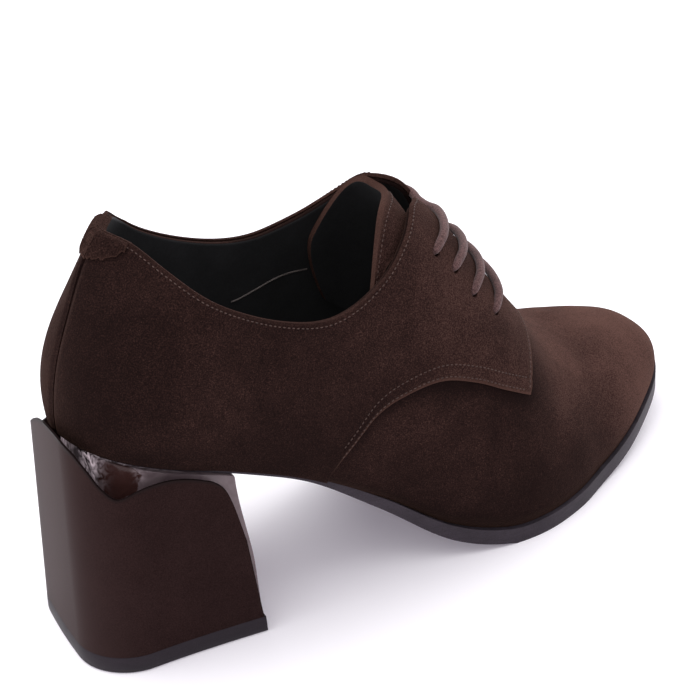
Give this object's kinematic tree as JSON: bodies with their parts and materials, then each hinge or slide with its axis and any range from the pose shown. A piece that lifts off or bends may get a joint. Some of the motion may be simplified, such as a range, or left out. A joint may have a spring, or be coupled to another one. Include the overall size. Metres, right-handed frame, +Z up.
{
  "type": "lace-up shoe",
  "caption": "Right-foot brown suede derby lace-up shoe on a covered block heel with a clear core, four straight lace bars, dark grey sole.",
  "frame": {"origin": "middle of the shoe's box, on the floor", "axes": "+X towards the toe, +Y towards the inner (big toe) side, +Z up"},
  "size_m": [0.2344, 0.0861, 0.1353],
  "materials": {
    "suede_upper": "brown suede with a short nap",
    "suede_quarter": "brown suede with a short nap",
    "suede_tongue": "brown suede outside, black lining inside",
    "suede_tab": "brown suede with a long, rough nap",
    "insole_cover": "smooth matt black lining leather",
    "sole_rubber": "matt dark grey rubber",
    "top_piece_rubber": "matt black rubber",
    "heel_cover": "satin brown cover",
    "clear_core": "clear, slightly smoky moulded plastic",
    "lace_cord": "round woven cord"
  },
  "bodies": {
    "root": {"upper": "suede_upper", "quarter_outer": "suede_quarter", "quarter_inner": "suede_quarter", "tongue": "suede_tongue", "insole": "insole_cover", "outsole": "sole_rubber", "heel_core": "clear_core", "heel_shell": "heel_cover", "heel_top_piece": "top_piece_rubber", "back_tab": "suede_tab", "lace_bar_1": "lace_cord", "lace_bar_2": "lace_cord", "lace_bar_3": "lace_cord", "lace_bar_4": "lace_cord"}
  },
  "joints": []
}
